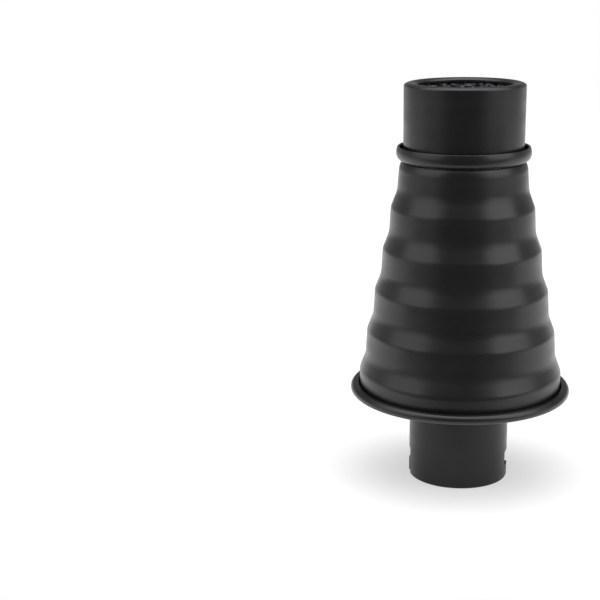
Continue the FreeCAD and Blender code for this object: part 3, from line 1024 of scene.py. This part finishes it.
@dataclass
class Honeycomb:
    """Expanded-foil honeycomb: strips glued in turn and pulled open, so no two cells are quite alike."""

    edge: float = 27.65
    pitch: float = 8.0
    single: float = 0.22
    doubled: float = 0.42
    stray: float = 0.42
    seed: int = 11
    reach: tuple[int, int] = (8, 10)
    bulge: float = 0.22
    ragged: float = 0.12
    shortest: float = 0.3
    margin: float = 0.15
    skirt: float = 0.3
    columns: int = 160

    def build(self, foil: bpy.types.Material, cut: bpy.types.Material) -> None:
        """Makes the honeycomb.

        Args:
            foil: The finish of the foil's faces.
            cut: The finish of its cut edges.
        """
        low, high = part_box("honeycomb_grid")
        foot, head = low.z / MM, high.z / MM
        chance = random.Random(self.seed)
        spots = self.corners(chance)
        mesh = bmesh.new()
        for (a, b), thick in self.walls(spots):
            self.wall(mesh, spots[a], spots[b], thick, foot, head, chance)
        self.rim(mesh, foot, head)
        bmesh.ops.recalc_face_normals(mesh, faces=mesh.faces)
        grid = as_object(mesh, "foil_honeycomb")
        fit(grid, [foil, cut], "honeycomb_grid", Part.INSERT)

    def corners(self, chance: random.Random) -> dict[Key, Vector]:
        """Where the cells' corners lie.

        Args:
            chance: The seeded source of the cells' unevenness.

        Returns:
            The corners by their column and row in a brick pattern.
        """
        side = self.pitch / math.sqrt(3)
        spots = {}
        across, along = self.reach
        for column in range(-across, across + 1):
            for row in range(-along, along + 1):
                sway = 0.25 * side if (column + row) % 2 else -0.25 * side
                place = Vector((column * self.pitch / 2, row * 1.5 * side + sway))
                offset = Vector((chance.uniform(-1, 1), chance.uniform(-1, 1))) * self.stray
                spots[column, row] = place + offset
        return spots

    def walls(self, spots: dict[Key, Vector]) -> list[tuple[tuple[Key, Key], float]]:
        """Which corners are joined by foil, and how thick.

        Args:
            spots: The corners.

        Returns:
            Pairs of corner keys with the wall's thickness; glued walls are doubled.
        """
        joined = []
        for column, row in spots:
            if (column + 1, row) in spots:
                joined.append((((column, row), (column + 1, row)), self.single))
            if (column + row) % 2 and (column, row + 1) in spots:
                joined.append((((column, row), (column, row + 1)), self.doubled))
        return joined

    def wall(
        self, mesh: bmesh.types.BMesh, start: Vector, stop: Vector, thick: float, foot: float, head: float,
        chance: random.Random,
    ) -> None:
        """Adds one foil wall, trimmed to the band.

        Args:
            mesh: The honeycomb's mesh.
            start: One corner.
            stop: The other corner.
            thick: The wall's thickness.
            foot: Height of its lower edge.
            head: Height of its upper edge.
            chance: The seeded source of its bow.
        """
        clipped = self.trim(start, stop)
        if clipped is None:
            return
        start, stop = clipped
        along = stop - start
        if along.length < self.shortest:
            return
        side = Vector((-along.y, along.x)).normalized() * (thick / 2)
        bow = Vector((-along.y, along.x)).normalized() * chance.uniform(-self.bulge, self.bulge)
        top = head - chance.uniform(0.0, self.ragged)
        rows = []
        for step in range(5):
            share = step / 4
            spot = start + along * share + bow * math.sin(math.pi * share)
            rows.append([
                mesh.verts.new(Vector((p.x, p.y, z)) * MM)
                for p, z in ((spot - side, foot), (spot + side, foot), (spot + side, top), (spot - side, top))
            ])
        for stretch in skin(mesh, rows, smooth=False):
            stretch[0].material_index = stretch[2].material_index = 1
        for end in (rows[0], rows[-1]):
            mesh.faces.new(end)

    def trim(self, start: Vector, stop: Vector) -> tuple[Vector, Vector] | None:
        """Trims a wall to the band's inside.

        Args:
            start: One corner.
            stop: The other corner.

        Returns:
            The trimmed ends, or None when the wall lies outside.
        """
        limit = self.edge - self.margin
        if start.length <= limit and stop.length <= limit:
            return start, stop
        if start.length > limit and stop.length > limit:
            return None
        inner, outer = (start, stop) if start.length <= limit else (stop, start)
        low, high = 0.0, 1.0
        for _ in range(30):
            share = (low + high) / 2
            low, high = (share, high) if inner.lerp(outer, share).length <= limit else (low, share)
        return inner, inner.lerp(outer, low)

    def rim(self, mesh: bmesh.types.BMesh, foot: float, head: float) -> None:
        """Adds the foil that closes the honeycomb's edge.

        Args:
            mesh: The honeycomb's mesh.
            foot: Height of its lower edge.
            head: Height of its upper edge.
        """
        inner, outer = self.edge - self.skirt, self.edge
        ways = [math.tau * step / self.columns for step in range(self.columns)]
        stretches = skin(mesh, [
            [mesh.verts.new(Vector((r * math.cos(a), r * math.sin(a), z)) * MM) for a in ways]
            for r, z in ((inner, foot), (outer, foot), (outer, head), (inner, head))
        ], joined=True, smooth=False)
        for face in stretches[0] + stretches[2]:
            face.material_index = 1


# ---- studio ----


@dataclass(frozen=True)
class Lamp:
    """A square softbox.

    Attributes:
        name: Its name.
        place: Where it hangs, in metres.
        size: Its side, in metres.
        power: Its power, in watts.
    """

    name: str
    place: tuple[float, float, float]
    size: float
    power: float


@dataclass
class Studio:
    """The white table, the room round it, the softboxes and the camera."""

    table: tuple[float, float, float, float] = (-1.3, 1.3, -0.14, 1.6)
    table_level: float = -0.0001
    horizon: float = 0.42
    upper: float = 0.6
    zenith: float = 1.1
    shade: float = 0.16
    sun: float = 0.5
    sun_spread: float = 50.0
    sun_place: tuple[float, float, float] = (0.0, 0.05, 2.0)
    lamps: tuple[Lamp, ...] = (
        Lamp("left_softbox", (-0.78, -0.34, 0.58), 0.9, 2.1),
        Lamp("right_softbox", (0.78, -0.34, 0.58), 0.9, 3.2),
    )
    aim: tuple[float, float, float] = (0.0, 0.0, 0.11)
    eye: tuple[float, float, float] = (0.0, -0.668485, 0.263651)
    pitch: float = 14.478
    yaw: float = 6.953
    roll: float = -0.604
    lens: float = 81.69
    sensor: float = 36.0

    def build_floor(self, sheet: bpy.types.Material) -> None:
        """Lays the white table top, which ends just in front of the snoot.

        Args:
            sheet: Its finish.
        """
        left, right, front, back = self.table
        mesh = bmesh.new()
        corners = [(left, front), (right, front), (right, back), (left, back)]
        mesh.faces.new([mesh.verts.new((x, y, self.table_level)) for x, y in corners])
        floor = as_object(mesh, "table_top")
        floor.data.materials.append(sheet)

    def hang(self, name: str, light: bpy.types.Light, place: tuple[float, float, float]) -> None:
        """Hangs a light so that it shines on the snoot.

        Args:
            name: The light's name.
            light: The light.
            place: Where it hangs, in metres.
        """
        holder = bpy.data.objects.new(name, light)
        holder.location = place
        holder.rotation_euler = (Vector(self.aim) - Vector(place)).to_track_quat("-Z", "Y").to_euler()
        bpy.context.scene.collection.objects.link(holder)

    def build_lights(self) -> None:
        """Hangs the softboxes and the soft overhead light."""
        for lamp in self.lamps:
            light = bpy.data.lights.new(lamp.name, "AREA")
            light.size = lamp.size
            light.energy = lamp.power
            self.hang(lamp.name, light, lamp.place)
        overhead = bpy.data.lights.new("overhead_scrim", "SUN")
        overhead.energy = self.sun
        overhead.angle = math.radians(self.sun_spread)
        self.hang("overhead_scrim", overhead, self.sun_place)
        bpy.context.scene.view_settings.view_transform = "Standard"

    def build_room(self) -> None:
        """Makes the white room, which is brightest overhead and has a dim wall in front and one behind."""
        world = bpy.data.worlds.new("white_room")
        world.use_nodes = True
        bpy.context.scene.world = world
        tree = world.node_tree
        lit = tree.nodes["Background"]
        way = add_node(tree, "ShaderNodeTexCoord").outputs["Generated"]
        flat = add_node(tree, "ShaderNodeVectorMath", {"operation": "MULTIPLY", 1: (1.0, 1.0, 0.0)}, in_0=way)
        level = add_node(tree, "ShaderNodeVectorMath", {"operation": "NORMALIZE"}, in_0=flat.outputs["Vector"])
        forward, backward = (
            add_node(
                tree, "ShaderNodeVectorMath", {"operation": "DOT_PRODUCT", 1: (0.0, side, 0.0)},
                in_0=level.outputs["Vector"],
            ).outputs["Value"] for side in (-1.0, 1.0)
        )
        height = add_node(tree, "ShaderNodeSeparateXYZ", Vector=way).outputs["Z"]
        # Each is a smooth change over one of these measures: where it starts and stops, and its two levels.
        front, back, above, below_crown, climb, crown = (
            add_node(
                tree, "ShaderNodeMapRange",
                {"interpolation_type": "SMOOTHSTEP", "From Min": start, "From Max": stop,
                 "To Min": low, "To Max": high},
                Value=measure,
            ).outputs["Result"] for measure, start, stop, low, high in (
                (forward, 0.55, 0.97, 0.0, 1.0),
                (backward, -0.1, 0.6, 0.0, 1.0),
                (height, 0.06, 0.32, 0.0, 1.0),
                (height, 0.55, 0.9, 1.0, 0.0),
                (height, 0.08, 0.42, self.horizon, self.upper),
                (height, 0.5, 0.85, 0.0, self.zenith),
            )
        )
        wall = add_node(tree, "ShaderNodeMath", {"operation": "MULTIPLY"}, in_0=back, in_1=above)
        dark = add_node(
            tree, "ShaderNodeMath", {"operation": "MAXIMUM"}, in_0=front, in_1=wall.outputs["Value"]
        )
        gap = add_node(
            tree, "ShaderNodeMath", {"operation": "MULTIPLY"}, in_0=dark.outputs["Value"], in_1=below_crown
        )
        glow = add_node(tree, "ShaderNodeMath", {"operation": "ADD"}, in_0=climb, in_1=crown)
        strength = add_node(
            tree, "ShaderNodeMapRange", {"To Max": self.shade}, Value=gap.outputs["Value"],
            To_Min=glow.outputs["Value"],
        )
        tree.links.new(strength.outputs["Result"], lit.inputs["Strength"])
        lit.inputs["Color"].default_value = linear("#FFFFFF")
        paper = add_node(tree, "ShaderNodeBackground", {"Color": linear("#FFFFFF"), "Strength": 1.0})
        ray = add_node(tree, "ShaderNodeLightPath")
        mix = add_node(
            tree, "ShaderNodeMixShader", in_0=ray.outputs["Is Camera Ray"], in_1=lit.outputs["Background"],
            in_2=paper.outputs["Background"],
        )
        tree.links.new(mix.outputs["Shader"], tree.nodes["World Output"].inputs["Surface"])

    def build_camera(self) -> None:
        """Sets up the camera in front of the snoot, looking slightly down."""
        pitch, yaw, roll = (math.radians(angle) for angle in (self.pitch, self.yaw, self.roll))
        ahead = Vector((-math.sin(yaw) * math.cos(pitch), math.cos(yaw) * math.cos(pitch), -math.sin(pitch)))
        level = ahead.cross(Vector((0, 0, 1))).normalized()
        upright = level.cross(ahead)
        right = level * math.cos(roll) + upright * math.sin(roll)
        up = upright * math.cos(roll) - level * math.sin(roll)
        data = bpy.data.cameras.new("camera")
        data.lens = self.lens
        data.sensor_width = self.sensor
        camera = bpy.data.objects.new("camera", data)
        turn = Matrix((right, up, -ahead)).transposed()
        camera.matrix_world = Matrix.Translation(self.eye) @ turn.to_4x4()
        bpy.context.scene.collection.objects.link(camera)
        bpy.context.scene.camera = camera


def main() -> None:
    """Builds the snoot piece by piece, then the studio round it."""
    logging.basicConfig(level=logging.INFO, format="%(name)s: %(message)s", stream=sys.stdout)
    coat = SatinCoat("satin_black_enamel").build()
    dull = SatinCoat("thin_black_enamel", roughness=0.32, reflectance=0.33).build()
    foil = AnodisedFoil("black_anodised_foil").build()
    cut = BareMetal(
        "cut_foil_edge", colour="#6E6E72", stained="#3A3A3D", roughness=0.45, scratch_mm=1.2
    ).build()
    frost = FrostedAluminium("frosted_aluminium").build()
    rivet = BareMetal("set_aluminium_rivet").build()
    wire = BareMetal("drawn_spring_wire", colour="#7E7F83", stained="#55565A", roughness=0.3).build()
    felt = PressedFelt("black_pressed_felt").build()
    BayonetTube().build(dull)
    cone = ConeBody()
    cone.build_shell(coat)
    cone.build_dish(coat)
    cone.build_socket(coat)
    cone.build_felt(felt)
    cone.build_rivets(rivet)
    insert = NozzleInsert()
    insert.build_nozzle(coat)
    insert.build_light_tube(frost)
    insert.build_frame(foil)
    insert.build_snap_ring(wire)
    Honeycomb().build(foil, cut)
    studio = Studio()
    studio.build_floor(LightTable("milky_acrylic").build())
    studio.build_lights()
    studio.build_room()
    studio.build_camera()


if __name__ == "__main__":
    main()
